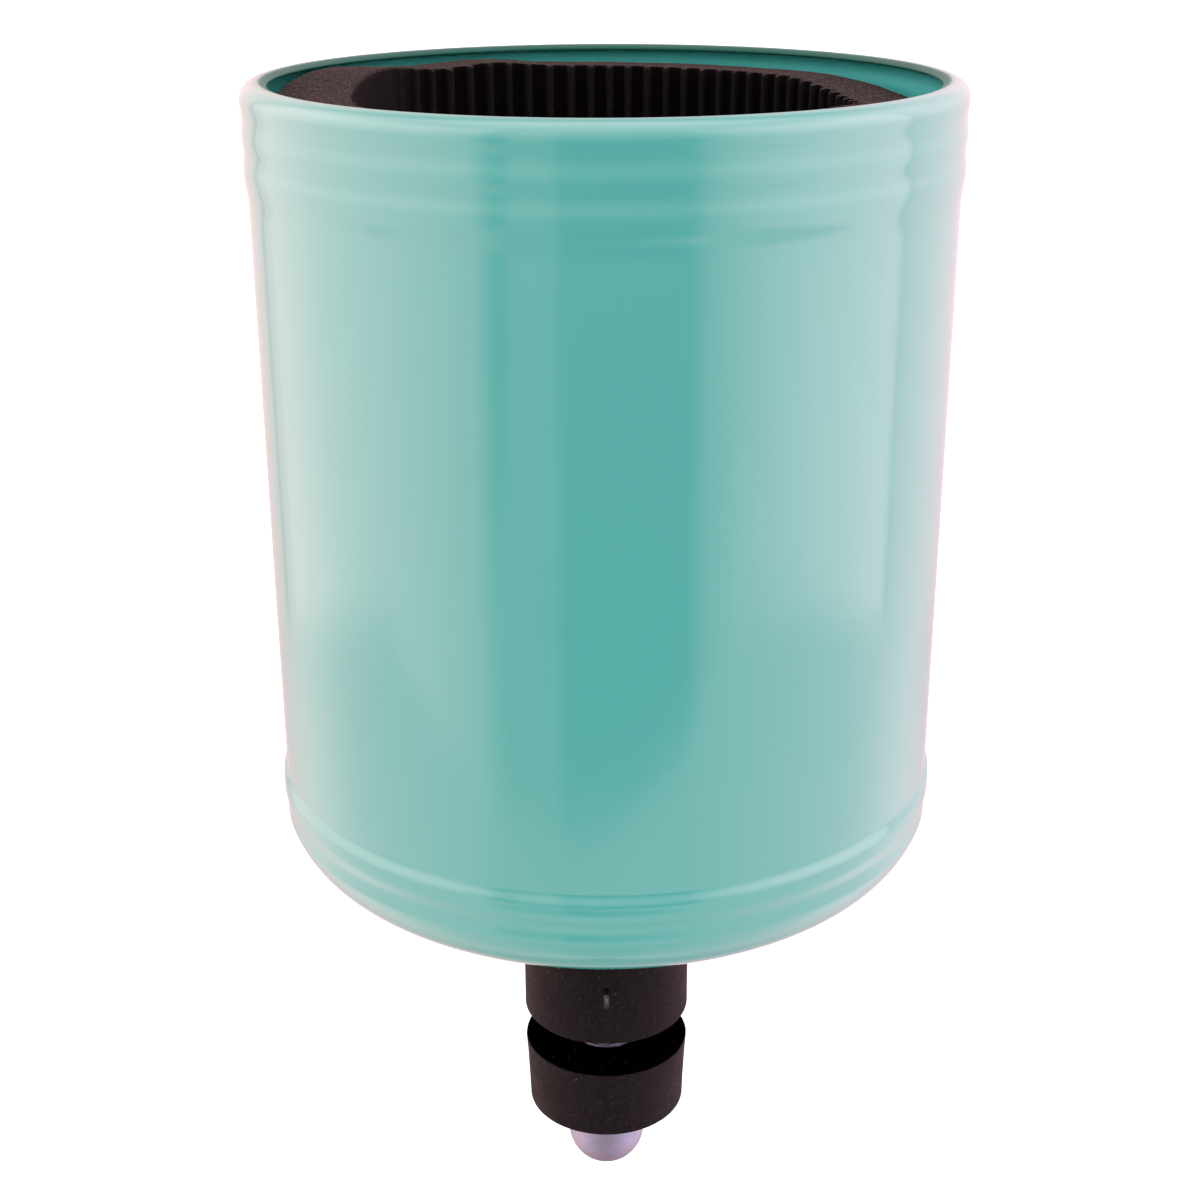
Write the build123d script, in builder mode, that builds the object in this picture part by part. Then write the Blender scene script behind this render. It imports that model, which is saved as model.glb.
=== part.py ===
"""Can holder: a pressed steel cup with a ribbed foam liner, bolted to a flat bracket between rubber pads.

All sizes are in millimetres. +Z is up along the bolt, and the origin is the centre of the upper
pad's lower face, where the bracket lies. Every height is measured from that face.
"""

import os
from math import asin, cos, degrees, pi, radians, sin, sqrt

from build123d import *

os.makedirs("parts", exist_ok=True)

# Driving dimensions: cup
cup_radius = 47.0  # plain outside wall
cup_height = 111.2  # underside of the floor to the top of the rim
sheet = 0.6
corner_radius = 11.5  # outside, floor to wall
roll_radius = 2.2  # outside of the rolled rim's section
roll_proud = 0.4  # how far the rolled rim stands outside the plain wall
roll_end = radians(125)  # where the sheet's edge is, from straight outwards over the top
neck_proud = 0.2  # waist under the rolled rim, where the first bead starts
rim_beads = ((4.5, 8.7, 0.4), (8.7, 14.5, 0.4))  # start and end below the rim, height
rim_groove_proud = 0.2  # between the two upper beads
base_bead = (95.8, 99.6, 0.6)  # start and end below the rim, height
base_bead_foot_proud = 0.4
base_groove_depth = 101.0  # groove between the base bead and the rounded corner
base_groove_proud = 0.1
corner_depth = 102.9  # where the rounded corner starts
corner_proud = 0.65  # how far the corner's arc reaches outside the plain wall

# Driving dimensions: clamp
pad_radius = 12.7
upper_pad_height = 30.0
bracket_gap = 5.8
lower_pad_height = 11.2
lower_pad_radius = 12.65
lower_pad_foot_radius = 12.1
pad_edge = 0.2  # rounding of a pad's edges
mouth_depth = 1.2  # funnel at the top of the lower pad's hole
mouth_radius = 5.0

# Driving dimensions: M8 hardware
shank_radius = 4.0
bolt_length = 55.0
head_radius = 10.0
head_height = 4.4
head_edge = 0.8  # upright edge of the head
tip_chamfer = 0.8
neck_side = 8.3  # the bolt's square neck
neck_hole_side = 8.5  # in the cup's floor
neck_corner = 1.0
neck_length = 4.0
washer_thickness = 1.6
washer_bore = 4.2
washer_radius = 8.0
floor_washer_radius = 10.0
floor_washer_bore = 5.9
bush_radius = 6.0
bush_bore = 4.08
nut_flats = 13.0
nut_hex_height = 4.8
nut_height = 15.0
nut_dome_radius = 6.0
nut_cavity = 12.0
corner_chamfer = 0.7  # taken off the nut's corners, across
chamfer_slope = 0.6  # its rise for each millimetre across
nut_sunk = 2.3  # how far the nut goes up into the lower pad
recess_clearance = 0.3

# Driving dimensions: foam liner
foam_clearance = 0.3
liner_mouth_radius = 33.0  # to the ribs' crests
liner_lip = 2.8  # liner's top below the rim's top
rib_count = 72
rib_depth = 1.1
rib_share = 0.55  # of each pitch
seam_half_angle = 17.0  # the plain stretch of liner beside its joint, in degrees
seam_direction = 168.0
liner_base_thickness = 7.0

# Heights of the stack
cup_bottom = upper_pad_height
floor_top = cup_bottom + sheet
rim_top = cup_bottom + cup_height
lower_pad_top = -bracket_gap
lower_pad_bottom = lower_pad_top - lower_pad_height
nut_top = lower_pad_bottom + nut_sunk
nut_bottom = nut_top - nut_height
bolt_tip = floor_top - bolt_length
roll_centre_radius = cup_radius + roll_proud - roll_radius
roll_centre_height = rim_top - roll_radius
rim_opening_radius = roll_centre_radius + roll_radius * cos(roll_end)
floor_edge = cup_radius + corner_proud - corner_radius  # where the flat floor ends
corner_height = cup_bottom + corner_radius


def bead(lower, middle, upper):
    """One rounded bead or groove of the wall, each point given as its radius and its depth below the rim."""
    ThreePointArc(*((radius, rim_top - depth) for radius, depth in (lower, middle, upper)))


def wall_line(radius, corner):
    """The wall's line at one side of the sheet, from the floor's flat up to the rolled rim."""
    base_start, base_end, base_height = base_bead
    (neck_start, groove, first_height), (second_start, plain_start, second_height) = rim_beads
    corner_drop = asin((corner_depth - (cup_height - corner_radius)) / corner_radius)
    corner_line = CenterArc((floor_edge, corner_height), corner, -90, 90 - degrees(corner_drop))
    corner_end = corner_line @ 1
    bead(
        (corner_end.X, rim_top - corner_end.Y),
        (radius + base_groove_proud, base_groove_depth),
        (radius + base_bead_foot_proud, base_end),
    )
    bead(
        (radius + base_bead_foot_proud, base_end),
        (radius + base_height, (base_start + base_end) / 2),
        (radius, base_start),
    )
    Line((radius, rim_top - base_start), (radius, rim_top - plain_start))
    bead(
        (radius, plain_start),
        (radius + second_height, (second_start + plain_start) / 2),
        (radius + rim_groove_proud, second_start),
    )
    bead(
        (radius + rim_groove_proud, groove),
        (radius + first_height, (neck_start + groove) / 2),
        (radius + neck_proud, neck_start),
    )
    Line((radius + neck_proud, rim_top - neck_start), (radius + roll_proud, roll_centre_height))


def roll_point(radius, angle):
    """A point of the rolled rim's section, by its angle from straight outwards."""
    return (roll_centre_radius + radius * cos(angle), roll_centre_height + radius * sin(angle))


def roll_line(radius):
    """The rolled rim's line at one side of the sheet, from the wall to the sheet's edge."""
    ThreePointArc(
        roll_point(radius, 0), roll_point(radius, roll_end / 2), roll_point(radius, roll_end)
    )


# Cup: one pressed sheet, turned about the bolt's line, with a square hole in its floor
with BuildPart() as cup_shell:
    with BuildSketch(Plane.XZ):
        with BuildLine():
            wall_line(cup_radius, corner_radius)
            roll_line(roll_radius)
            Line(roll_point(roll_radius, roll_end), roll_point(roll_radius - sheet, roll_end))
            roll_line(roll_radius - sheet)
            wall_line(cup_radius - sheet, corner_radius - sheet)
            Polyline((floor_edge, floor_top), (0, floor_top), (0, cup_bottom), (floor_edge, cup_bottom))
        make_face()
    revolve(axis=Axis.Z)
    with BuildSketch(Plane.XY.offset(cup_bottom)):
        Rectangle(neck_hole_side, neck_hole_side)
    extrude(amount=sheet, mode=Mode.SUBTRACT)
cup_shell.part.label = "cup_shell"
export_step(cup_shell.part, "parts/cup_shell.step")

# Bolt: round head on the cup's floor, square neck through it and a plain shank to the nut
head_rise = head_height - head_edge
head_sphere = (head_radius**2 + head_rise**2) / (2 * head_rise)
head_sphere_centre = floor_top + head_height - head_sphere
half_turn = asin(head_radius / head_sphere) / 2
with BuildPart() as carriage_bolt:
    with BuildSketch(Plane.XZ):
        with BuildLine():
            Polyline(
                (0, floor_top + head_height),
                (0, bolt_tip),
                (shank_radius - tip_chamfer, bolt_tip),
                (shank_radius, bolt_tip + tip_chamfer),
                (shank_radius, floor_top),
                (head_radius, floor_top),
                (head_radius, floor_top + head_edge),
            )
            ThreePointArc(
                (head_radius, floor_top + head_edge),
                (
                    head_sphere * sin(half_turn),
                    head_sphere_centre + head_sphere * cos(half_turn),
                ),
                (0, floor_top + head_height),
            )
        make_face()
    revolve(axis=Axis.Z)
    with BuildSketch(Plane.XY.offset(floor_top)):
        RectangleRounded(neck_side, neck_side, neck_corner)
    extrude(amount=-neck_length)
carriage_bolt.part.label = "carriage_bolt"
export_step(carriage_bolt.part, "parts/carriage_bolt.step")


def washer(outer, bore, bottom):
    """A flat ring, with its lower face at the height given."""
    with BuildPart() as ring:
        with BuildSketch(Plane.XY.offset(bottom)):
            Circle(outer)
            Circle(bore, mode=Mode.SUBTRACT)
        extrude(amount=washer_thickness)
    return ring


# Backing washer between the cup's floor and the upper pad, around the bolt's square neck
floor_washer_bottom = cup_bottom - washer_thickness
floor_washer = washer(floor_washer_radius, floor_washer_bore, floor_washer_bottom)
floor_washer.part.label = "floor_washer"
export_step(floor_washer.part, "parts/floor_washer.step")

# Steel bush inside the upper pad, from its lower face up to the space for the square neck
neck_space = neck_length - sheet + 0.8
bush_top = cup_bottom - neck_space
with BuildPart() as spacer_bush:
    with BuildSketch():
        Circle(bush_radius)
        Circle(bush_bore, mode=Mode.SUBTRACT)
    extrude(amount=bush_top)
spacer_bush.part.label = "spacer_bush"
export_step(spacer_bush.part, "parts/spacer_bush.step")

# Upper rubber pad, moulded around the bush, with the backing washer let into its top
with BuildPart() as upper_pad:
    with BuildSketch():
        Circle(pad_radius)
    extrude(amount=upper_pad_height)
    fillet(upper_pad.edges().filter_by(GeomType.CIRCLE), pad_edge)
    with BuildSketch():
        Circle(bush_radius)
    extrude(amount=upper_pad_height, mode=Mode.SUBTRACT)
    with BuildSketch(Plane.XY.offset(upper_pad_height)):
        Circle(floor_washer_radius + recess_clearance)
    extrude(amount=-washer_thickness, mode=Mode.SUBTRACT)
upper_pad.part.label = "upper_pad"
export_step(upper_pad.part, "parts/upper_pad.step")

# Lower rubber pad: funnel-mouthed hole, and a recess below for the washer and the nut's top
recess_radius = washer_radius + recess_clearance
recess_top = nut_top + washer_thickness
pad_bore = shank_radius + recess_clearance
with BuildPart() as lower_pad:
    with BuildSketch(Plane.XY.offset(lower_pad_bottom)):
        Circle(lower_pad_foot_radius)
    with BuildSketch(Plane.XY.offset(lower_pad_top)):
        Circle(lower_pad_radius)
    loft()
    fillet(lower_pad.edges().filter_by(GeomType.CIRCLE), pad_edge)
    with BuildSketch(Plane.XZ):
        Polygon(
            (0, lower_pad_top),
            (mouth_radius, lower_pad_top),
            (pad_bore, lower_pad_top - mouth_depth),
            (pad_bore, recess_top),
            (recess_radius, recess_top),
            (recess_radius, lower_pad_bottom),
            (0, lower_pad_bottom),
            align=None,
        )
    revolve(axis=Axis.Z, mode=Mode.SUBTRACT)
lower_pad.part.label = "lower_pad"
export_step(lower_pad.part, "parts/lower_pad.step")

# Flat washer at the top of the lower pad's recess
nut_washer = washer(washer_radius, washer_bore, nut_top)
nut_washer.part.label = "nut_washer"
export_step(nut_washer.part, "parts/nut_washer.step")

# Dome nut: hexagon with chamfered corners, domed cap and a blind plain hole for the shank
dome_centre = nut_bottom + nut_dome_radius
hex_bottom = nut_top - nut_hex_height
hex_corner_radius = nut_flats / 2 / cos(pi / 6)
with BuildPart() as dome_nut:
    with BuildSketch(Plane.XY.offset(hex_bottom)):
        RegularPolygon(nut_flats / 2, 6, major_radius=False)
    extrude(amount=nut_hex_height)
    with BuildSketch(Plane.XZ):
        Polygon(
            (0, nut_top),
            (hex_corner_radius - corner_chamfer, nut_top),
            (hex_corner_radius, nut_top - corner_chamfer * chamfer_slope),
            (hex_corner_radius, hex_bottom + corner_chamfer * chamfer_slope),
            (hex_corner_radius - corner_chamfer, hex_bottom),
            (0, hex_bottom),
            align=None,
        )
    revolve(axis=Axis.Z, mode=Mode.INTERSECT)
    with BuildSketch(Plane.XZ):
        with BuildLine():
            Polyline(
                (0, nut_bottom),
                (0, hex_bottom),
                (nut_dome_radius, hex_bottom),
                (nut_dome_radius, dome_centre),
            )
            ThreePointArc(
                (nut_dome_radius, dome_centre),
                (nut_dome_radius * sqrt(0.5), dome_centre - nut_dome_radius * sqrt(0.5)),
                (0, nut_bottom),
            )
        make_face()
    revolve(axis=Axis.Z)
    with BuildSketch(Plane.XY.offset(nut_top)):
        Circle(bush_bore)
    extrude(amount=-nut_cavity, mode=Mode.SUBTRACT)
dome_nut.part.label = "dome_nut"
export_step(dome_nut.part, "parts/dome_nut.step")

# Foam sleeve: stands on the cup's floor, ribbed inside except beside its joint
liner_radius = rim_opening_radius - foam_clearance
liner_top = rim_top - liner_lip
corner_inside = corner_radius - sheet - foam_clearance
liner_bottom = corner_height - corner_inside
liner_turn = asin((liner_radius - floor_edge) / corner_inside)
with BuildPart() as liner_sleeve:
    with BuildSketch(Plane.XZ):
        with BuildLine():
            corner = CenterArc(
                (floor_edge, corner_height), corner_inside, -90, degrees(liner_turn)
            )
            Polyline(
                corner @ 1,
                (liner_radius, liner_top),
                (liner_mouth_radius, liner_top),
                (liner_mouth_radius, liner_bottom),
                corner @ 0,
            )
        make_face()
    revolve(axis=Axis.Z)
    with BuildSketch(Plane.XY.offset(liner_top)):
        pitch_angle = 360 / rib_count
        groove_width = 2 * pi * liner_mouth_radius / rib_count * (1 - rib_share)
        for rib in range(rib_count):
            direction = (rib + 0.5) * pitch_angle
            off_seam = abs((direction - seam_direction + 180) % 360 - 180)
            if off_seam > seam_half_angle:
                with PolarLocations(liner_mouth_radius, 1, start_angle=direction):
                    Rectangle(2 * rib_depth, groove_width)
    extrude(amount=liner_bottom - liner_top, mode=Mode.SUBTRACT)
liner_sleeve.part.label = "liner_sleeve"
export_step(liner_sleeve.part, "parts/liner_sleeve.step")

# Foam disc inside the sleeve: the can stands on it, and the bolt's head is in its pocket
disc_radius = liner_mouth_radius - foam_clearance
disc_bottom = floor_top + foam_clearance
pocket_radius = head_radius + 1.0
pocket_height = head_height + 0.4
with BuildPart() as liner_base:
    with BuildSketch(Plane.XY.offset(disc_bottom)):
        Circle(disc_radius)
    extrude(amount=liner_base_thickness)
    with BuildSketch(Plane.XY.offset(disc_bottom)):
        Circle(pocket_radius)
    extrude(amount=pocket_height, mode=Mode.SUBTRACT)
liner_base.part.label = "liner_base"
export_step(liner_base.part, "parts/liner_base.step")
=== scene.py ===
"""Looks of a bracket-mounted can holder: enamelled cup, ribbed foam liner, rubber pads, zinc hardware.

Lengths here are in millimetres, and MM turns them into the scene's metres where a mesh is made.
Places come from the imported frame: +Z is up along the bolt, and the camera looks along +Y.
"""

from math import asin, atan2, cos, exp, hypot, pi, radians, sin, sqrt, tau

import bpy
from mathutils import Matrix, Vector, noise


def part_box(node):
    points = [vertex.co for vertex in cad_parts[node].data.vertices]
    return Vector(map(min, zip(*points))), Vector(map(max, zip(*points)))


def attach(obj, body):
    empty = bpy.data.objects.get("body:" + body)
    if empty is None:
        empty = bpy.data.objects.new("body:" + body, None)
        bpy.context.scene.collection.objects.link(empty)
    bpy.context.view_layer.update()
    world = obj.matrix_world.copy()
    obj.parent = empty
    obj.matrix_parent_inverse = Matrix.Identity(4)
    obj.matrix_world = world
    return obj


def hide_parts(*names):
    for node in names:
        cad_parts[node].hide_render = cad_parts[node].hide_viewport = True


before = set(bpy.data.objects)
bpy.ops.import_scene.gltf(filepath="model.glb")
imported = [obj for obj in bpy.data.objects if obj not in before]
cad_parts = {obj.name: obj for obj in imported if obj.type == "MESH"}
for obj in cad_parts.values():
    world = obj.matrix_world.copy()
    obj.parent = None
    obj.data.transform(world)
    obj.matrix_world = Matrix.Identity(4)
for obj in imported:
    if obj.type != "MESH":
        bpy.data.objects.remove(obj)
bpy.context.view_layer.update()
MM = 0.001


def heights(node):
    """Lowest and highest point of a CAD node."""
    low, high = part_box(node)
    return low.z / MM, high.z / MM


CUP_BOTTOM, RIM_TOP = heights("cup_shell")
LINER_TOP = heights("liner_sleeve")[1]
DISC_BOTTOM, DISC_TOP = heights("liner_base")
BOLT_TIP, HEAD_TOP = heights("carriage_bolt")
UPPER_PAD_BOTTOM, UPPER_PAD_TOP = heights("upper_pad")
LOWER_PAD_BOTTOM, LOWER_PAD_TOP = heights("lower_pad")
NUT_WASHER_TOP = heights("nut_washer")[1]
FLOOR_WASHER_BOTTOM = heights("floor_washer")[0]

# Cup
CUP_RADIUS = 47.0
SHEET = 0.6
FLOOR_TOP = CUP_BOTTOM + SHEET
CORNER_RADIUS = 11.5
FLOOR_EDGE = 36.15  # radius where the flat floor turns up into the corner
FLOOR_RINGS = (12, 22, 32)  # radii of the rings of points on the flat floor
ROLL_RADIUS = 2.2
ROLL_CENTRE = CUP_RADIUS + 0.4 - ROLL_RADIUS
ROLL_END = radians(125)
PLAIN_START, PLAIN_END = 15.6, 95.8  # the plain wall, by depth below the rim
CORNER_DEPTH = 102.9  # where the wall meets the rounded corner
BEAD_STEP, WALL_STEP = 0.25, 4.0  # spacing of the points on the beads and on the plain wall
WALL_DENT = 0.02  # how far the sheet is from true
# Depth below the rim and how far the wall stands out there, at each crest and groove
RIM_BEADS = ((2.2, 0.4), (4.4, 0.2), (6.6, 0.38), (8.7, 0.21), (10.8, 0.42), (PLAIN_START, 0.0))
BASE_BEADS = ((PLAIN_END, 0.0), (97.2, 0.5), (98.8, 0.54), (100.9, 0.14))

# Foam liner
LINER_RADIUS = 43.6
LINER_GAP = 0.3  # between the liner and the cup's corner, and between the disc and the ribs
RIB_CREST = 33.0
RIB_DEPTH = 1.1
RIB_COUNT = 72
RIB_DRIFT = 0.2  # how much tighter the ribs stand on the right than on the left
SEAM_DIRECTION, SEAM_HALF_ANGLE, SEAM_FADE = radians(173), radians(18), radians(22)
# High and low spots of the liner's top: direction and half width in degrees, and height
TOP_WAVES = (
    (156, 20, 1.9),
    (118, 13, 1.0),
    (92, 20, 0.25),
    (8, 22, -1.6),
    (265, 30, 0.3),
    (320, 18, 0.4),
)
POCKET_ROOM, POCKET_HEADROOM = 1, 0.7  # around and above the bolt's head, in the disc

# Rubber pads
UPPER_PAD_RADIUS = 12.7
LOWER_PAD_RADIUS = 12.65
LOWER_PAD_FOOT = 12.1
PAD_EDGE = 0.2
PAD_BORE = 4.3
BUSH_RADIUS = 6.0
FLOOR_WASHER_SEAT = 10.3
NUT_RECESS = 8.3
MOUTH_RADIUS, MOUTH_DEPTH = 5.0, 1.2
GATE_HEIGHT = 9.3  # moulding gate on the front of the upper pad
GATE_SMEAR = 3.4  # length of the torn skin below it

# Bolt
SHANK_RADIUS = 4.0
THREAD_LENGTH = 22.0
THREAD_PITCH = 1.25
THREAD_DEPTH = 0.68
ROWS_A_PITCH = 12
NECK_HALF, NECK_CORNER, NECK_LENGTH = 4.15, 1.0, 4.0
NECK_HOLE_HALF = 4.25
HEAD_RADIUS, HEAD_EDGE = 10.0, 0.8
TIP_CHAMFER = 0.8


# ---------------------------------------------------------------- meshes


def arc(centre, radius, start, end, steps):
    """Points of an arc in the radius and height plane, angles in radians."""
    turns = (start + (end - start) * step / steps for step in range(steps + 1))
    return [(centre[0] + radius * cos(turn), centre[1] + radius * sin(turn)) for turn in turns]


def line(start, end, steps):
    """Points from start up to, but without, end."""
    shares = (step / steps for step in range(steps))
    return [tuple(a + (b - a) * share for a, b in zip(start, end)) for share in shares]


def rounded(corners):
    """A profile with rounded corners: each corner is (radius, height) or (radius, height, rounding)."""
    profile = []
    for index, (here, height, *rounding) in enumerate(corners):
        if not rounding:
            profile.append((here, height))
            continue
        corner = Vector((here, height))
        before = (Vector(corners[index - 1][:2]) - corner).normalized()
        after = (Vector(corners[(index + 1) % len(corners)][:2]) - corner).normalized()
        half = before.angle(after) / 2
        setback = rounding[0] / sin(half) * cos(half)
        middle = corner + (before + after).normalized() * rounding[0] / sin(half)
        start, end = corner + before * setback, corner + after * setback
        first = atan2(*(start - middle).yx)
        sweep = (atan2(*(end - middle).yx) - first + pi) % tau - pi
        profile.append(tuple(start + before * rounding[0]))
        profile += arc(middle, rounding[0], first, first + sweep, 6)
        profile.append(tuple(end + after * rounding[0]))
    return profile


def turned(name, profile, segments, closed=True, shape=None):
    """A piece turned about the bolt's line from a profile of (radius, height) points.

    The profile's outside goes up. A closed profile makes a ring, and an open one starts and ends on the
    line. shape(radius, height, angle) gives the radius and height that a point really has.
    """
    points, rings = [], []
    for radius, height in profile:
        if radius == 0:
            rings.append([len(points)] * segments)
            points.append((0, 0, height))
            continue
        rings.append([len(points) + step for step in range(segments)])
        for step in range(segments):
            angle = tau * step / segments
            out, up = shape(radius, height, angle) if shape else (radius, height)
            points.append((out * cos(angle), out * sin(angle), up))
    faces = []
    for lower, upper in zip(rings, rings[1:] + rings[:1] if closed else rings[1:]):
        for step in range(segments):
            after = (step + 1) % segments
            faces.append(tuple(dict.fromkeys((lower[step], lower[after], upper[after], upper[step]))))
    mesh = bpy.data.meshes.new(name)
    mesh.from_pydata([(x * MM, y * MM, z * MM) for x, y, z in points], [], faces)
    mesh.polygons.foreach_set("use_smooth", [True] * len(faces))
    mesh.update()
    piece = bpy.data.objects.new(name, mesh)
    bpy.context.scene.collection.objects.link(piece)
    normals = piece.modifiers.new("normals", "WEIGHTED_NORMAL")
    normals.weight = 100
    return piece


def grain(radius, angle, height, size, seed):
    """Smooth noise from -1 to 1 over a turned piece, with features of about the size given."""
    place = Vector((radius * cos(angle), radius * sin(angle), height)) / size
    return noise.noise(place + Vector((seed * 17.3, seed * 5.1, seed * 9.7)))


def square_radius(angle, half, corner=0.0):
    """Distance from the centre to a square's side, its corners rounded."""
    x, y = abs(cos(angle)), abs(sin(angle))
    flat = half / max(x, y)
    inner = half - corner
    if min(x, y) * flat <= inner:
        return flat
    along = inner * (x + y)
    return along + sqrt(along * along - 2 * inner * inner + corner * corner)


def eased(keys, depth):
    """A value that swings smoothly from each key to the next."""
    for (start, low), (end, high) in zip(keys, keys[1:]):
        if depth <= end:
            share = (1 - cos(pi * (depth - start) / (end - start))) / 2
            return low + (high - low) * share
    return keys[-1][1]


def bump(turn, centre, half_width):
    """A bell of height 1 about a direction, all in degrees."""
    away = (turn - centre + 180) % 360 - 180
    return exp(-((away / half_width) ** 2))


# ---------------------------------------------------------------- pieces


def cup_side(inset):
    """One side of the sheet, from the floor's edge up to the start of the rolled rim, moved in by inset."""
    corner = (FLOOR_EDGE, CUP_BOTTOM + CORNER_RADIUS)
    radius = CORNER_RADIUS - inset
    last_turn = -asin((corner[1] - RIM_TOP + CORNER_DEPTH) / CORNER_RADIUS)
    side = arc(corner, radius, -pi / 2, last_turn, 18)
    corner_end = (CORNER_DEPTH, corner[0] + CORNER_RADIUS * cos(last_turn) - CUP_RADIUS)
    depth = CORNER_DEPTH - BEAD_STEP
    while depth > RIM_BEADS[0][0] + BEAD_STEP / 2:
        if depth > PLAIN_END:
            proud = eased((*BASE_BEADS, corner_end), depth)
        elif depth < PLAIN_START:
            proud = eased(RIM_BEADS, depth)
        else:
            proud = 0.0
        side.append((CUP_RADIUS + proud - inset, RIM_TOP - depth))
        in_plain = PLAIN_START + 1 < depth < PLAIN_END - 1
        depth -= WALL_STEP if in_plain and depth - WALL_STEP > PLAIN_START else BEAD_STEP
    return side


def make_cup():
    """The pressed cup: one sheet with a half-rolled rim, beads, rounded base and square hole."""
    roll = (ROLL_CENTRE, RIM_TOP - ROLL_RADIUS)
    mid_sheet = ROLL_RADIUS - SHEET / 2
    lip = (roll[0] + mid_sheet * cos(ROLL_END), roll[1] + mid_sheet * sin(ROLL_END))
    hole = NECK_HOLE_HALF
    under = [(radius, CUP_BOTTOM) for radius in (hole, *FLOOR_RINGS)]
    profile = under + cup_side(0)
    profile += arc(roll, ROLL_RADIUS, 0, ROLL_END, 22)
    profile += arc(lip, SHEET / 2, ROLL_END, ROLL_END + pi, 6)[1:-1]
    profile += arc(roll, ROLL_RADIUS - SHEET, ROLL_END, 0, 14)
    profile += cup_side(SHEET)[::-1]
    profile += [(radius, FLOOR_TOP) for radius, _ in under[::-1]]

    def shape(radius, height, angle):
        if radius == hole:
            return square_radius(angle, hole), height
        if height <= CUP_BOTTOM + CORNER_RADIUS:
            return radius, height
        return radius + WALL_DENT * grain(CUP_RADIUS, angle, height, 30, 1), height

    return turned("cup", profile, 192, shape=shape)


def liner_level(angle):
    """Height of the liner's top edge in a direction."""
    turn = angle * 360 / tau
    return LINER_TOP + 0.1 + sum(height * bump(turn, *where) for *where, height in TOP_WAVES)


def groove(angle):
    """How deep the liner is grooved in a direction, from 0 at a rib to 1 between ribs."""
    off_seam = abs((angle - SEAM_DIRECTION + pi) % tau - pi)
    fade = min(max((off_seam - SEAM_HALF_ANGLE) / SEAM_FADE, 0), 1)
    turn = RIB_COUNT * (angle + RIB_DRIFT * cos(angle - pi / 2)) / tau
    turn += 0.12 * grain(RIB_CREST, angle, 0, 6, 11)
    from_rib = abs(turn - round(turn))
    share = min(max((from_rib - 0.1) / 0.16, 0), 1)
    return share * share * (3 - 2 * share) * fade


def make_liner():
    """The foam sleeve: a wavy cut top, ribs inside, and a plain stretch where its ends meet."""
    corner = (FLOOR_EDGE, CUP_BOTTOM + CORNER_RADIUS)
    corner_radius = CORNER_RADIUS - SHEET - LINER_GAP
    corner_turn = asin((LINER_RADIUS - FLOOR_EDGE) / corner_radius)
    outer_edge, inner_edge = 1.0, 0.5
    top = LINER_TOP
    bottom = corner[1] - corner_radius
    profile = arc(corner, corner_radius, -pi / 2, corner_turn - pi / 2, 8)
    profile += line((LINER_RADIUS, profile[-1][1] + 4), (LINER_RADIUS, top - outer_edge - 0.5), 9)
    profile += arc((LINER_RADIUS - outer_edge, top - outer_edge), outer_edge, 0, pi / 2, 6)
    profile += line((LINER_RADIUS - outer_edge - 0.6, top), (RIB_CREST + RIB_DEPTH + 1, top), 7)
    profile += arc((RIB_CREST + inner_edge, top - inner_edge), inner_edge, pi / 2, pi, 5)
    profile += line((RIB_CREST, top - inner_edge - 0.4), (RIB_CREST, bottom + 0.5), 12)
    profile += [(RIB_CREST, bottom)]

    def shape(radius, height, angle):
        near_top = min(max((height - top + 25) / 25, 0), 1)
        inward = (LINER_RADIUS - radius) / (LINER_RADIUS - RIB_CREST)
        lift = (liner_level(angle) - top + 0.35 * inward) * near_top**2
        uneven = grain(radius, angle, height, 9, 2) * 0.25 + grain(radius, angle, height, 2.5, 3) * 0.08
        inside = min(max((RIB_CREST + 2 - radius) / 2, 0), 1)
        out = radius + inside * (RIB_DEPTH * groove(angle) + 0.3 * uneven)
        if radius > LINER_RADIUS - 0.5:
            out -= 0.1 * abs(uneven)
        up = height + lift + uneven * 0.5 * near_top**8
        return out, up

    return turned("foam_liner", profile, 1080, shape=shape)


def make_liner_disc():
    """The foam disc that the can stands on, with a pocket below for the bolt's head."""
    radius, pocket = RIB_CREST - LINER_GAP, HEAD_RADIUS + POCKET_ROOM
    pocket_top = HEAD_TOP + POCKET_HEADROOM
    profile = rounded(
        [
            (pocket, DISC_BOTTOM),
            (radius, DISC_BOTTOM, 0.4),
            (radius, DISC_TOP, 0.8),
            (24, DISC_TOP),
            (12, DISC_TOP),
        ]
    )
    profile += [(0, DISC_TOP)]
    profile = [(0, pocket_top), (pocket - 0.4, pocket_top), (pocket, pocket_top - 0.4)] + profile

    def shape(out, height, angle):
        if height <= DISC_TOP - 1:
            return out, height
        uneven = grain(out, angle, height, 11, 4) * 0.15 + grain(out, angle, height, 3, 5) * 0.05
        dish = 0.25 * (1 - (out / radius) ** 2)
        return out, height + uneven - dish

    return turned("foam_disc", profile, 160, closed=False, shape=shape)


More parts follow.
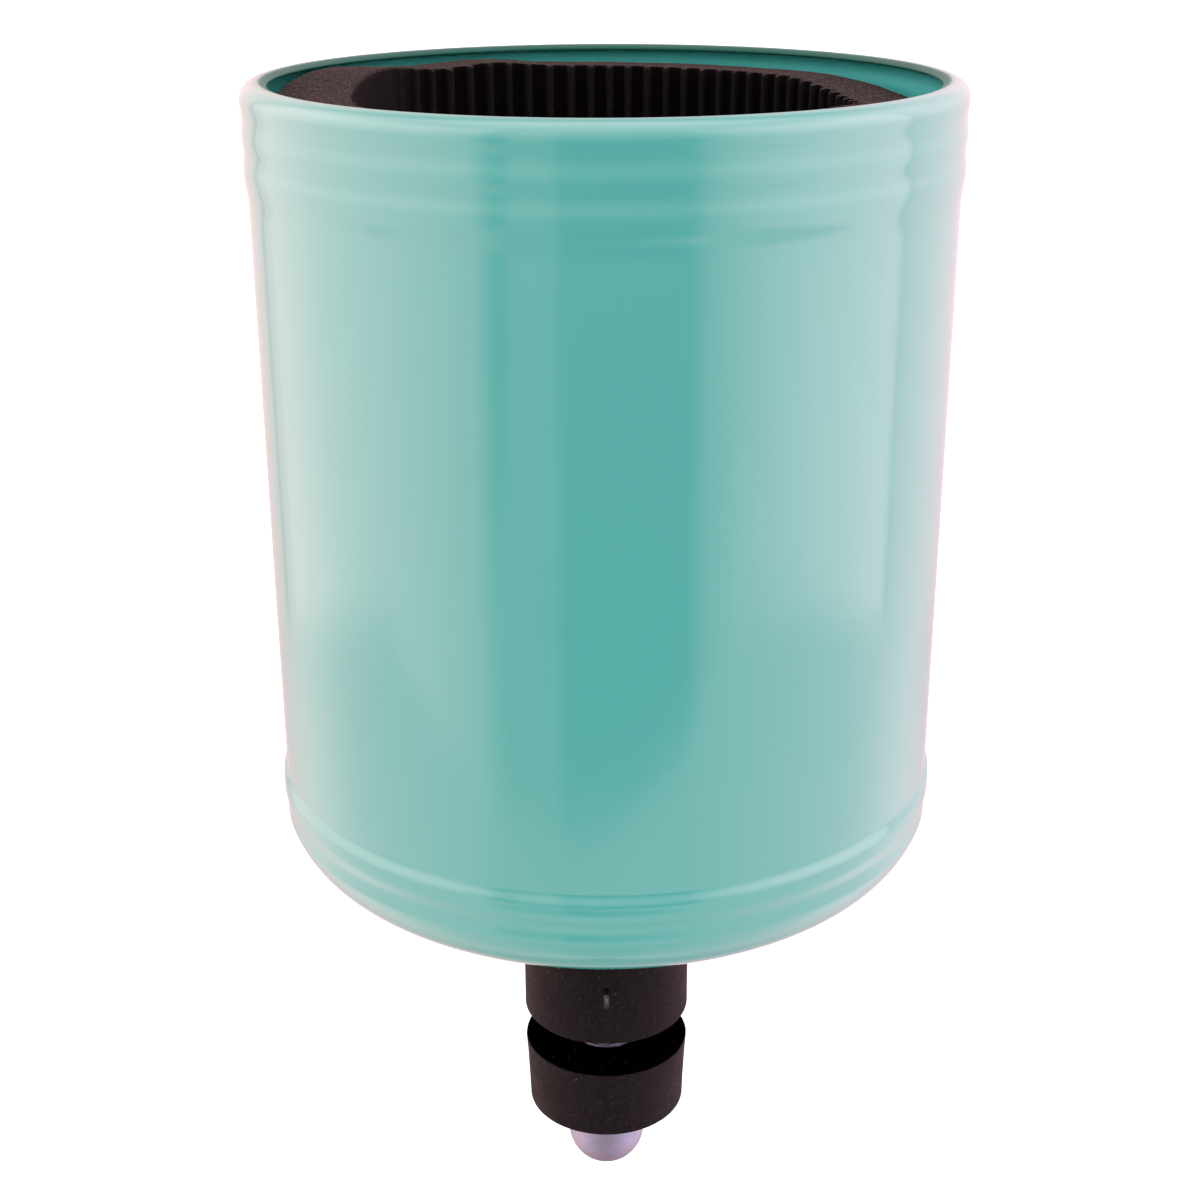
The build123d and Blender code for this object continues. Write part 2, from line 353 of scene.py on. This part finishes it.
def make_upper_pad():
    """The upper rubber pad: torn gate mark on its front, ragged flash at its lower edge."""
    recess = FLOOR_WASHER_BOTTOM
    bottom, top = UPPER_PAD_BOTTOM, UPPER_PAD_TOP
    side = [(UPPER_PAD_RADIUS, bottom + 0.8 + 0.3 * step) for step in range(32)]
    side += [(UPPER_PAD_RADIUS, bottom + 12 + 2 * step) for step in range(9)]
    foot = rounded(
        [
            (BUSH_RADIUS + 0.6, bottom),
            (UPPER_PAD_RADIUS, bottom, PAD_EDGE),
            (UPPER_PAD_RADIUS, top),
        ]
    )
    head = rounded(
        [
            (UPPER_PAD_RADIUS, bottom),
            (UPPER_PAD_RADIUS, top, PAD_EDGE),
            (FLOOR_WASHER_SEAT, top),
            (FLOOR_WASHER_SEAT, recess),
            (BUSH_RADIUS, recess),
            (BUSH_RADIUS, bottom),
        ]
    )
    profile = foot[:-1] + side + head[1:]

    def shape(radius, height, angle):
        turn = angle * 360 / tau
        if radius > UPPER_PAD_RADIUS - PAD_EDGE - 0.1 and height < top - 1:
            across = (angle - 1.5 * pi) * radius
            below = GATE_HEIGHT - height
            pit = exp(-((across / 0.42) ** 2) - (below / 0.5) ** 2)
            lip = exp(-(((hypot(across, below) - 0.85) / 0.25) ** 2))
            radius += 0.05 * lip - 0.8 * pit
            flash = bump(turn, 305, 30) + 0.3
            if height < bottom + 0.5:
                ragged = max(grain(radius, angle, 0, 0.55, 7), 0)
                ragged += 0.5 * grain(radius, angle, 0, 1.7, 8)
                radius += 0.12 * flash * ragged
                height += 0.16 * flash * ragged
        return radius, height

    return turned("upper_pad_rubber", profile, 400, shape=shape)


def make_lower_pad():
    """The lower rubber pad: tapered, a funnel-mouthed hole above and a recess below for the nut."""
    profile = rounded(
        [
            (NUT_RECESS, LOWER_PAD_BOTTOM),
            (LOWER_PAD_FOOT, LOWER_PAD_BOTTOM, PAD_EDGE),
            (12.2, LOWER_PAD_TOP - 8),
            (12.45, LOWER_PAD_TOP - 2.5),
            (LOWER_PAD_RADIUS, LOWER_PAD_TOP, PAD_EDGE),
            (8.6, LOWER_PAD_TOP),
            (MOUTH_RADIUS, LOWER_PAD_TOP, 0.2),
            (PAD_BORE, LOWER_PAD_TOP - MOUTH_DEPTH),
            (PAD_BORE, NUT_WASHER_TOP),
            (NUT_RECESS, NUT_WASHER_TOP),
        ]
    )

    def shape(radius, height, angle):
        if radius > LOWER_PAD_FOOT - PAD_EDGE:
            radius += 0.04 * grain(radius, angle, height, 3, 9)
            if height > LOWER_PAD_TOP - 0.6:
                height += 0.07 * grain(radius, angle, 0, 0.8, 10)
        return radius, height

    return turned("lower_pad_rubber", profile, 320, shape=shape)


def make_bolt():
    """The carriage bolt: domed head, square neck, plain shank and a rolled thread."""
    head_rise = HEAD_TOP - FLOOR_TOP - HEAD_EDGE
    sphere = (HEAD_RADIUS**2 + head_rise**2) / (2 * head_rise)
    thread_top = BOLT_TIP + THREAD_LENGTH
    neck_bottom = FLOOR_TOP - NECK_LENGTH
    rows = int(THREAD_LENGTH / THREAD_PITCH * ROWS_A_PITCH)
    first = BOLT_TIP + TIP_CHAMFER
    profile = [(0, BOLT_TIP), (SHANK_RADIUS - TIP_CHAMFER, BOLT_TIP), (SHANK_RADIUS, first)]
    profile += line((SHANK_RADIUS, first + 0.05), (SHANK_RADIUS, thread_top), rows)
    profile += [(SHANK_RADIUS, height) for height in (thread_top + 0.3, neck_bottom - 0.3, neck_bottom)]
    neck = [(NECK_HALF, neck_bottom + 0.3), (NECK_HALF, FLOOR_TOP)]
    profile += neck
    edge_top = FLOOR_TOP + HEAD_EDGE
    profile += rounded([(5.5, FLOOR_TOP), (HEAD_RADIUS, FLOOR_TOP, 0.2), (HEAD_RADIUS, edge_top)])[:-1]
    start = asin(HEAD_RADIUS / sphere)
    dome = arc((0, HEAD_TOP - sphere), sphere, pi / 2 - start, pi / 2, 14)
    profile += dome[:-1] + [(0, HEAD_TOP)]

    def shape(radius, height, angle):
        if (radius, height) in neck:
            return square_radius(angle, NECK_HALF, NECK_CORNER), height
        if radius != SHANK_RADIUS or height > thread_top:
            return radius, height
        turn = (height / THREAD_PITCH - angle / tau) % 1
        flank = abs(turn - 0.5) * 2
        depth = min(max((flank - 0.12) / 0.7, 0), 1)
        run_out = min((thread_top - height) / THREAD_PITCH, (height - BOLT_TIP) / 1.0, 1)
        return radius - THREAD_DEPTH * depth * max(run_out, 0), height

    return turned("carriage_bolt_threaded", profile, 96, closed=False, shape=shape)


# ---------------------------------------------------------------- materials


class Nodes:
    """Short ways to add and join shader nodes in one tree."""

    def __init__(self, tree):
        self.tree = tree
        tree.nodes.clear()

    def add(self, kind, inputs=None, **settings):
        """A node with its settings and inputs: sockets are linked, and other inputs are set."""
        node = self.tree.nodes.new(kind)
        for name, value in settings.items():
            setattr(node, name, value)
        for name, value in (inputs or {}).items():
            if isinstance(value, bpy.types.NodeSocket):
                self.tree.links.new(value, node.inputs[name])
            else:
                node.inputs[name].default_value = value
        return node

    def math(self, operation, *values):
        return self.add("ShaderNodeMath", dict(enumerate(values)), operation=operation).outputs[0]

    def step(self, value, low, high, start=0.0, end=1.0):
        """A smooth step of value: start below low and end above high."""
        ends = {"Value": value, "From Min": low, "From Max": high, "To Min": start, "To Max": end}
        return self.add("ShaderNodeMapRange", ends, interpolation_type="SMOOTHSTEP").outputs[0]

    def place(self):
        """The point on the piece, in millimetres of its own frame."""
        spot = self.add("ShaderNodeTexCoord").outputs["Object"]
        scaled = {0: spot, "Scale": 1 / MM}
        return self.add("ShaderNodeVectorMath", scaled, operation="SCALE").outputs[0]

    def noise(self, spot, size, detail=2.0, roughness=0.5):
        """Noise from 0 to 1 with features of about size millimetres."""
        inputs = {"Vector": spot, "Scale": 1 / size, "Detail": detail, "Roughness": roughness}
        return self.add("ShaderNodeTexNoise", inputs).outputs["Fac"]

    def cells(self, spot, size, output="Distance"):
        """Cells of about size millimetres: the distance from each one's middle, or its own colour."""
        return self.add("ShaderNodeTexVoronoi", {"Vector": spot, "Scale": 1 / size}).outputs[output]

    def mix(self, share, first, second):
        """A colour between two colours."""
        node = self.add("ShaderNodeMix", data_type="RGBA")
        sockets = (node.inputs[0], node.inputs[6], node.inputs[7])
        for socket, value in zip(sockets, (share, first, second)):
            if isinstance(value, bpy.types.NodeSocket):
                self.tree.links.new(value, socket)
            else:
                socket.default_value = value
        return node.outputs[2]

    def bump(self, height, distance, strength=1.0, normal=None):
        """A bump of a height from 0 to 1, whose full height is distance millimetres."""
        inputs = {"Height": height, "Distance": distance * MM, "Strength": strength}
        if normal:
            inputs["Normal"] = normal
        return self.add("ShaderNodeBump", inputs).outputs[0]

    def finish(self, shader):
        self.tree.links.new(shader.outputs[0], self.add("ShaderNodeOutputMaterial").inputs[0])


def material(name):
    made = bpy.data.materials.new(name)
    made.use_nodes = True
    return made, Nodes(made.node_tree)


def colour(red, green, blue):
    return red, green, blue, 1.0


WHITE = colour(1.0, 1.0, 1.0)

MINT_DEEP, MINT_PALE = colour(0.091, 0.423, 0.384), colour(0.099, 0.446, 0.404)
# Painted light: a paler enamel tone for the inside of the cup, standing for light the studio doesn't give
# it
MINT_RECESS_PAINTED_LIGHT = colour(0.13, 0.78, 0.71)
# Painted shade: a dark enamel tone for the rim's inner half, standing for the shade under the lip
MINT_LIP_PAINTED_SHADE = colour(0.014, 0.11, 0.085)
MINT_DUST = colour(0.12, 0.2, 0.17)

FOAM_DEEP, FOAM_PALE = colour(0.011, 0.009, 0.0095), colour(0.018, 0.0145, 0.0148)
FOAM_BARE_CUT, FOAM_DUSTY_CUT = colour(0.014, 0.011, 0.0105), colour(0.082, 0.064, 0.059)
FOAM_PORE = colour(0.006, 0.005, 0.005)
FOAM_FLECK = colour(0.045, 0.037, 0.036)
# Painted shade in the grooves between the foam's ribs
FOAM_GROOVE_SHADE = colour(0.003, 0.0024, 0.0028)

RUBBER_DEEP, RUBBER_PALE = colour(0.0042, 0.0034, 0.0038), colour(0.0088, 0.0072, 0.0079)
RUBBER_MOTTLE = colour(0.022, 0.0182, 0.019)
RUBBER_GRAIN = colour(0.038, 0.0315, 0.0325)
# Painted shade on the pads' flat top and bottom faces
RUBBER_FLAT_FACE_SHADE = colour(0.0006, 0.0006, 0.0007)
RUBBER_DUST = colour(0.26, 0.21, 0.18)
RUBBER_TORN = colour(0.15, 0.13, 0.12)
# Painted shade in the gate's pit
RUBBER_PIT_SHADE = colour(0.001, 0.001, 0.001)

# Dark zinc: the bolt's tone is partly its plating and partly painted shade, for the shank that shows only
# in the gap between the pads
ZINC_COLD, ZINC_WARM = colour(0.17, 0.22, 0.31), colour(0.22, 0.23, 0.31)
NUT_COLD, NUT_WARM = colour(0.135, 0.18, 0.235), colour(0.165, 0.18, 0.23)
ZINC_STAIN = colour(0.20, 0.20, 0.26)

FLOOR_PALE = colour(0.9, 0.9, 0.9)
# Tints of what the gloss reflects, on the left and on the right
LEFT_TINT, RIGHT_TINT = colour(1.0, 0.65, 0.65), colour(1.0, 0.655, 0.74)


def specks(nodes, spot, size, width, rarity):
    """Rare round specks of about width millimetres: 1 inside one and 0 elsewhere."""
    near = nodes.cells(spot, size)
    pick = nodes.add("ShaderNodeSeparateColor", {0: nodes.cells(spot, size, "Color")}).outputs[0]
    chosen = nodes.math("GREATER_THAN", pick, rarity)
    return nodes.math("MULTIPLY", nodes.step(near, width / size * 0.6, width / size * 0.3), chosen)


def enamel():
    """Glossy mint enamel: faint orange peel, cloudy tone and a few specks of dust under the coat.

    The studio lights the inside of the cup too little and the inner half of the rim too much, so these
    get painted tones: a paler, duller one that is painted light, and a dark one that is painted shade.
    """
    made, nodes = material("enamel_mint")
    spot = nodes.place()
    cloud = nodes.noise(spot, 22, 3)
    tone = nodes.mix(cloud, MINT_DEEP, MINT_PALE)
    dust = specks(nodes, spot, 5.5, 0.16, 0.72)
    base = nodes.mix(dust, tone, MINT_DUST)
    up = nodes.add("ShaderNodeSeparateXYZ", {0: spot}).outputs[2]
    geometry = nodes.add("ShaderNodeNewGeometry").outputs
    level = {0: geometry["Position"], 1: (1.0, 1.0, 0.0)}
    level = nodes.add("ShaderNodeVectorMath", level, operation="MULTIPLY").outputs[0]
    spoke = nodes.add("ShaderNodeVectorMath", {0: level}, operation="NORMALIZE").outputs[0]
    outward = {0: geometry["True Normal"], 1: spoke}
    outward = nodes.add("ShaderNodeVectorMath", outward, operation="DOT_PRODUCT").outputs["Value"]
    inward = nodes.step(outward, 0, -0.3)
    # Painted light: inward-facing enamel below the rim gets the paler tone
    inside = nodes.math("MULTIPLY", inward, nodes.step(up, RIM_TOP - 0.5, RIM_TOP - 0.9))
    base = nodes.mix(inside, base, MINT_RECESS_PAINTED_LIGHT)
    # Painted shade: the inward-facing band just under the rim's top gets the dark tone
    lip = nodes.math("MULTIPLY", inward, nodes.step(up, RIM_TOP - 1.2, RIM_TOP - 0.9))
    base = nodes.mix(lip, base, MINT_LIP_PAINTED_SHADE)
    inside = nodes.math("MAXIMUM", inside, lip)
    peel = nodes.noise(spot, 0.9, 2, 0.45)
    wave = nodes.noise(spot, 5.0, 1)
    normal = nodes.bump(wave, 0.012, normal=nodes.bump(peel, 0.0022))
    gloss = nodes.step(nodes.noise(spot, 14, 3), 0.25, 0.75, 0.08, 0.12)
    gloss = nodes.math("ADD", gloss, nodes.math("MULTIPLY", inside, 0.3))
    inputs = {"Base Color": base, "Roughness": gloss, "IOR": 1.5, "Normal": normal}
    inputs["Specular IOR Level"] = nodes.math("MULTIPLY_ADD", inside, -0.4, 0.5)
    nodes.finish(nodes.add("ShaderNodeBsdfPrincipled", inputs))
    return made


def foam():
    """Closed-cell foam: charcoal, with painted shade between the ribs, a dusty bloom and open pores on its
    cut top.
    """
    made, nodes = material("foam_charcoal")
    spot = nodes.place()
    flat = {0: spot, 1: (1.0, 1.0, 0.0)}
    flat = nodes.add("ShaderNodeVectorMath", flat, operation="MULTIPLY").outputs[0]
    out = nodes.add("ShaderNodeVectorMath", {0: flat}, operation="LENGTH").outputs["Value"]
    normal = nodes.add("ShaderNodeNewGeometry").outputs["True Normal"]
    cut = nodes.step(nodes.add("ShaderNodeSeparateXYZ", {0: normal}).outputs[2], 0.35, 0.7)
    pores = nodes.cells(spot, 0.34)
    fine = nodes.noise(spot, 0.16, 2, 0.7)
    patch = nodes.noise(spot, 6, 3)
    tone = nodes.mix(patch, FOAM_DEEP, FOAM_PALE)
    dusty = nodes.noise(spot, 0.5, 3, 0.8)
    bloom = nodes.mix(nodes.step(dusty, 0.38, 0.66), FOAM_BARE_CUT, FOAM_DUSTY_CUT)
    tone = nodes.mix(cut, tone, bloom)
    pitted = nodes.mix(nodes.step(pores, 0.05, 0.5), FOAM_PORE, tone)
    base = nodes.mix(nodes.step(fine, 0.55, 0.8, 0, 0.5), pitted, FOAM_FLECK)
    # Painted shade: the grooves between the ribs, below the cut top, are darkened where shade falls
    past_crest = nodes.step(out, RIB_CREST - 0.1, RIB_CREST + 0.9)
    between = nodes.math("MULTIPLY", past_crest, nodes.step(out, RIB_CREST + 3, RIB_CREST + 2))
    hidden = nodes.math("MULTIPLY", between, nodes.math("SUBTRACT", 1.0, cut))
    base = nodes.mix(hidden, base, FOAM_GROOVE_SHADE)
    normal = nodes.bump(pores, 0.09, normal=nodes.bump(fine, 0.07))
    inputs = {"Base Color": base, "Roughness": 0.95, "IOR": 1.45, "Normal": normal}
    inputs["Specular IOR Level"] = 0.04
    nodes.finish(nodes.add("ShaderNodeBsdfPrincipled", inputs))
    return made


def rubber(name, gate=None):
    """Moulded black rubber: matt greyish skin, pale dust, and flat top and bottom faces darkened as painted
    shade.

    gate is the height of the mould's gate mark on the front, if the piece has one.
    """
    made, nodes = material(name)
    spot = nodes.place()
    across, deep, up = nodes.add("ShaderNodeSeparateXYZ", {0: spot}).outputs
    patch = nodes.noise(spot, 4.5, 4, 0.6)
    fine = nodes.noise(spot, 0.22, 2, 0.6)
    skin = nodes.mix(nodes.step(patch, 0.3, 0.7), RUBBER_DEEP, RUBBER_PALE)
    mottle = nodes.noise(spot, 0.7, 3, 0.65)
    skin = nodes.mix(nodes.step(mottle, 0.45, 0.75, 0, 0.6), skin, RUBBER_MOTTLE)
    skin = nodes.mix(nodes.step(fine, 0.5, 0.8, 0, 0.3), skin, RUBBER_GRAIN)
    # Painted shade: flat top and bottom faces, which meet other parts or face the gap between the pads, are
    # darkened nearly to black
    normal = nodes.add("ShaderNodeNewGeometry").outputs["True Normal"]
    facing_up = nodes.add("ShaderNodeSeparateXYZ", {0: normal}).outputs[2]
    flat = nodes.step(nodes.math("ABSOLUTE", facing_up), 0.75, 0.98)
    skin = nodes.mix(flat, skin, RUBBER_FLAT_FACE_SHADE)
    dusty = nodes.step(nodes.noise(spot, 2.6, 2), 0.35, 0.6)
    dust = nodes.math("MULTIPLY", specks(nodes, spot, 0.8, 0.2, 0.6), dusty)
    lint = specks(nodes, spot, 2.2, 0.34, 0.7)
    lint = nodes.math("MULTIPLY", lint, 0.8)
    dust = nodes.math("MAXIMUM", nodes.math("MULTIPLY", dust, 0.4), lint)
    base = nodes.mix(nodes.math("MULTIPLY", dust, 0.8), skin, RUBBER_DUST)
    normal = nodes.bump(fine, 0.03, normal=nodes.bump(nodes.noise(spot, 1.4, 3), 0.06))
    if gate is not None:
        below = nodes.math("SUBTRACT", gate, up)
        sideways = nodes.step(nodes.math("ABSOLUTE", across), 0.55, 0.1)
        fading = nodes.step(below, GATE_SMEAR, GATE_SMEAR * 0.5)
        along = nodes.math("MULTIPLY", nodes.step(below, 0.5, 0.9), fading)
        front = nodes.math("LESS_THAN", deep, 0.0)
        torn = nodes.math("MULTIPLY", nodes.math("MULTIPLY", sideways, along), front)
        streak = nodes.step(nodes.noise(spot, 0.35, 3, 0.7), 0.3, 0.6, 0.25, 0.9)
        base = nodes.mix(nodes.math("MULTIPLY", torn, streak), base, RUBBER_TORN)
        near = nodes.math("ADD", nodes.math("POWER", across, 2.0), nodes.math("POWER", below, 2.0))
        near = nodes.math("ADD", near, nodes.step(nodes.noise(spot, 0.4, 2), 0.3, 0.7, -0.3, 0.3))
        # Painted shade: the gate's pit is darkened nearly to black
        pit = nodes.math("MULTIPLY", nodes.step(near, 0.4, 0.12), front)
        base = nodes.mix(pit, base, RUBBER_PIT_SHADE)
    gloss = nodes.step(patch, 0.2, 0.8, 0.6, 0.8)
    inputs = {"Base Color": base, "Roughness": gloss, "Normal": normal, "IOR": 1.5}
    inputs["Specular IOR Level"] = nodes.math("MULTIPLY", nodes.math("SUBTRACT", 1.0, flat), 0.05)
    nodes.finish(nodes.add("ShaderNodeBsdfPrincipled", inputs))
    return made


def zinc(name, cold, warm, rough):
    """Zinc plating: satin, with faint lilac and blue clouds of passivation and fine handling marks."""
    made, nodes = material(name)
    spot = nodes.place()
    cloud = nodes.noise(spot, 2.4, 3, 0.6)
    grainy = nodes.noise(spot, 0.12, 2)
    base = nodes.mix(nodes.step(cloud, 0.35, 0.65), cold, warm)
    stain = nodes.step(nodes.noise(spot, 0.5, 3, 0.7), 0.58, 0.72, 0, 0.5)
    base = nodes.mix(stain, base, ZINC_STAIN)
    gloss = nodes.step(nodes.noise(spot, 1.1, 3), 0.3, 0.7, rough, rough + 0.12)
    normal = nodes.bump(grainy, 0.008, normal=nodes.bump(nodes.noise(spot, 0.8, 2), 0.012))
    inputs = {"Base Color": base, "Metallic": 1.0, "Roughness": gloss, "Normal": normal}
    nodes.finish(nodes.add("ShaderNodeBsdfPrincipled", inputs))
    return made


# ---------------------------------------------------------------- studio



def studio_world():
    """A soft studio painted by direction: two large side panels, a dark front, a pale table and ceiling.

    What the camera sees is plain white, matt surfaces get an even light, and glossy ones see the studio.
    A direction is turn, in degrees from the front (-Y) towards +X, and rise, in degrees above level.
    """
    world = bpy.data.worlds.new("studio")
    world.use_nodes = True
    world.cycles.sampling_method = "NONE"
    bpy.context.scene.world = world
    nodes = Nodes(world.node_tree)
    direction = nodes.add("ShaderNodeTexCoord").outputs["Generated"]
    x, y, z = nodes.add("ShaderNodeSeparateXYZ", {0: direction}).outputs
    turn = nodes.math("DEGREES", nodes.math("ARCTAN2", x, nodes.math("MULTIPLY", y, -1.0)))
    rise = nodes.math("DEGREES", nodes.math("ARCSINE", z))

    def between(value, start, end, soft):
        opening = nodes.step(value, start - soft, start + soft)
        return nodes.math("MULTIPLY", opening, nodes.step(value, end + soft, end - soft))

    def panel(middle, start, end, soft, peak, fall):
        """A panel between two directions, brightest in its middle, dimmer by fall for a degree squared."""
        off = nodes.math("ABSOLUTE", nodes.math("SUBTRACT", turn, middle))
        dimming = nodes.math("MULTIPLY", nodes.math("POWER", off, 2.0), fall)
        light = nodes.math("SUBTRACT", peak, dimming)
        return nodes.math("MULTIPLY", light, between(turn, start, end, soft))

    away = nodes.math("ABSOLUTE", turn)
    fill_start = nodes.step(rise, -24, -12, -37, -30)
    fill = nodes.step(nodes.math("SUBTRACT", turn, fill_start), -3, 3)
    fill = nodes.math("MULTIPLY", fill, nodes.step(turn, -12, -18))
    # The two side panels, the fill beside the left one, and what lies behind on the right and left
    parts = [
        panel(-85, -135, -37, 5, 5.2, 0.00114),
        panel(83, 28, 106, 4, 5.7, 0.00156),
        nodes.math("MULTIPLY", fill, 1.1),
        nodes.math("MULTIPLY", between(turn, 106, 186, 4), nodes.step(away, 100, 165, 3.4, 1.0)),
        nodes.math("MULTIPLY", between(turn, -186, -135, 4), nodes.step(away, 130, 165, 1.8, 1.0)),
    ]
    walls = nodes.step(rise, -24, -8, 0.15, 0.45)
    for part in parts:
        walls = nodes.math("ADD", walls, part)

    table = nodes.math("ADD", nodes.step(away, 15, 75, 2.3, 3.4), nodes.step(away, 105, 160, 0, -2.2))
    table = nodes.math("MULTIPLY", table, nodes.step(rise, -75, -40, 0.55, 1))
    off_middle = nodes.math("POWER", nodes.math("ADD", turn, 14.0), 2.0)
    horizon = nodes.math("MINIMUM", nodes.math("MULTIPLY_ADD", off_middle, 0.0016, -28.0), -21.5)
    above = nodes.step(nodes.math("SUBTRACT", rise, horizon), -0.9, 0.9)
    glow = nodes.math("MULTIPLY", nodes.step(rise, -10, 16), nodes.step(away, 20, 60, 1.2, 1.8))
    ceiling = nodes.math("ADD", glow, nodes.step(rise, 8, 82, 0, 4.6))
    behind = nodes.math("MULTIPLY", nodes.step(away, 100, 150, 0, 0.7), nodes.step(rise, 85, 50))
    ceiling = nodes.math("MULTIPLY", ceiling, nodes.math("SUBTRACT", 1.0, behind))

    gaps = nodes.math("ADD", between(turn, -142, -138.5, 1.2), between(turn, 107, 109, 1))
    open_part = nodes.math("SUBTRACT", 1.0, nodes.math("MULTIPLY", gaps, 0.22))
    walls = nodes.math("MULTIPLY", walls, open_part)
    walls = nodes.math("MULTIPLY", walls, nodes.step(away, 160, 178, 1.0, 0.4))
    walls = nodes.math("MULTIPLY", walls, nodes.step(rise, 60, 28))
    upper = nodes.math("MULTIPLY", above, nodes.math("ADD", walls, ceiling))
    seen = nodes.math("ADD", upper, nodes.math("MULTIPLY", table, nodes.math("SUBTRACT", 1.0, above)))

    path = nodes.add("ShaderNodeLightPath").outputs
    tint = nodes.mix(nodes.step(turn, -40, 40), LEFT_TINT, RIGHT_TINT)
    glossy = nodes.add("ShaderNodeBackground", {"Color": tint, "Strength": seen})
    top_light = nodes.step(z, -1, 1, 0.86, 1.14)
    even = nodes.add("ShaderNodeBackground", {"Color": WHITE, "Strength": top_light})
    white = nodes.add("ShaderNodeBackground", {"Color": WHITE, "Strength": 1.0})
    lit = {0: path["Is Glossy Ray"], 1: even.outputs[0], 2: glossy.outputs[0]}
    lit = nodes.add("ShaderNodeMixShader", lit)
    shown = {0: path["Is Camera Ray"], 1: lit.outputs[0], 2: white.outputs[0]}
    shown = nodes.add("ShaderNodeMixShader", shown)
    nodes.tree.links.new(shown.outputs[0], nodes.add("ShaderNodeOutputWorld").inputs[0])


def studio_floor():
    """A wide pale floor, well below the part, which hangs from a bracket in use."""
    reach, drop = 30.0, -0.45
    mesh = bpy.data.meshes.new("floor")
    signs = ((-1, -1), (1, -1), (1, 1), (-1, 1))
    corners = [(across * reach, deep * reach, drop) for across, deep in signs]
    mesh.from_pydata(corners, [], [(0, 1, 2, 3)])
    ground = bpy.data.objects.new("floor", mesh)
    bpy.context.scene.collection.objects.link(ground)
    made, nodes = material("floor_white")
    pale = {"Base Color": FLOOR_PALE, "Roughness": 0.8}
    pale |= {"Emission Color": WHITE, "Emission Strength": 0.4}
    nodes.finish(nodes.add("ShaderNodeBsdfPrincipled", pale))
    mesh.materials.append(made)
    ground.visible_glossy = False
    ground.visible_diffuse = False
    ground.visible_shadow = False


def camera():
    """A close camera, looking down on the front of the cup."""
    made = bpy.data.objects.new("camera", bpy.data.cameras.new("camera"))
    bpy.context.scene.collection.objects.link(made)
    made.data.lens = 57.25
    made.data.sensor_width = 36.0
    made.data.clip_start = 0.01
    made.location = (-0.0008, -0.2581, 0.1674)
    pitch, roll = radians(90 - 21.19), -0.003
    made.rotation_euler = (pitch, 0, 0)
    made.rotation_euler.rotate_axis("Z", roll)
    bpy.context.scene.camera = made


# ---------------------------------------------------------------- assembly


def place(piece, body, slot, look, *replaced):
    """Puts a piece on its body, with its material, in place of the CAD nodes it stands for."""
    piece.data.materials.clear()
    piece.data.materials.append(look)
    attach(piece, body)
    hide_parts(*replaced)
    return piece


def dress(node, look):
    """Gives a CAD node that stays a better material."""
    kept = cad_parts[node]
    kept.data.materials.clear()
    kept.data.materials.append(look)


camera()
studio_world()
studio_floor()

foam_look = foam()
place(make_cup(), "cup", "enamel", enamel(), "cup_shell")
place(make_liner(), "liner", "foam", foam_look, "liner_sleeve")
place(make_liner_disc(), "liner", "foam", foam_look, "liner_base")
place(make_upper_pad(), "bracket_clamp", "pad_rubber", rubber("rubber_gated", GATE_HEIGHT), "upper_pad")
place(make_lower_pad(), "lower_clamp", "pad_rubber", rubber("rubber_plain"), "lower_pad")

# The bolt's darkened zinc is partly painted shade on its shank in the gap
bolt_look = zinc("zinc_bolt", ZINC_COLD, ZINC_WARM, 0.3)
place(make_bolt(), "cup", "zinc_steel", bolt_look, "carriage_bolt")
dress("dome_nut", zinc("zinc_nut", NUT_COLD, NUT_WARM, 0.42))
for hidden in ("floor_washer", "nut_washer", "spacer_bush"):
    dress(hidden, zinc("zinc_" + hidden, ZINC_COLD, ZINC_WARM, 0.36))

bpy.context.scene.view_settings.view_transform = "Standard"
